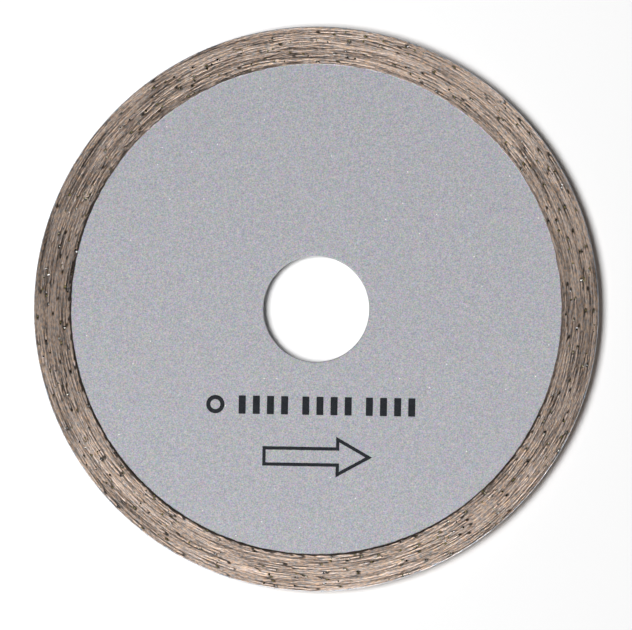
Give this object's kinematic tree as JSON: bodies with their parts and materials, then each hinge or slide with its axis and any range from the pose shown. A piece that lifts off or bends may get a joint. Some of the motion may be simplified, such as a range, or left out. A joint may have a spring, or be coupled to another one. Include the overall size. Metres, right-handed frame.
{
  "type": "diamond blade",
  "caption": "Continuous-rim diamond cutting blade: lacquered steel disc with a central arbor bore and a sintered bronze and diamond rim, for wet or dry cuts in tile and stone.",
  "frame": {"origin": "centre of the bore, half way through the thickness of the steel core", "axes": "+Z along the bore axis, out of the printed face; +X the way the printed arrow points; +Y from the prints towards the bore"},
  "size_m": [0.08, 0.08, 0.002],
  "materials": {
    "core_steel": "stamped and ground steel",
    "sintered_bronze": "ground sintered metal with circular grinding lines",
    "diamond_grit": "translucent yellow-green crystals",
    "silver_lacquer": "fine-grained silver lacquer, satin",
    "print_ink": "dark blue-black screen-printing ink"
  },
  "bodies": {
    "root": {"steel_core": "core_steel", "bond_rim": "sintered_bronze", "front_diamonds": "diamond_grit", "back_diamonds": "diamond_grit", "edge_diamonds": "diamond_grit", "buried_diamonds": "diamond_grit", "front_lacquer": "silver_lacquer", "back_lacquer": "silver_lacquer", "arrow_print": "print_ink", "size_print": "print_ink"}
  },
  "joints": []
}
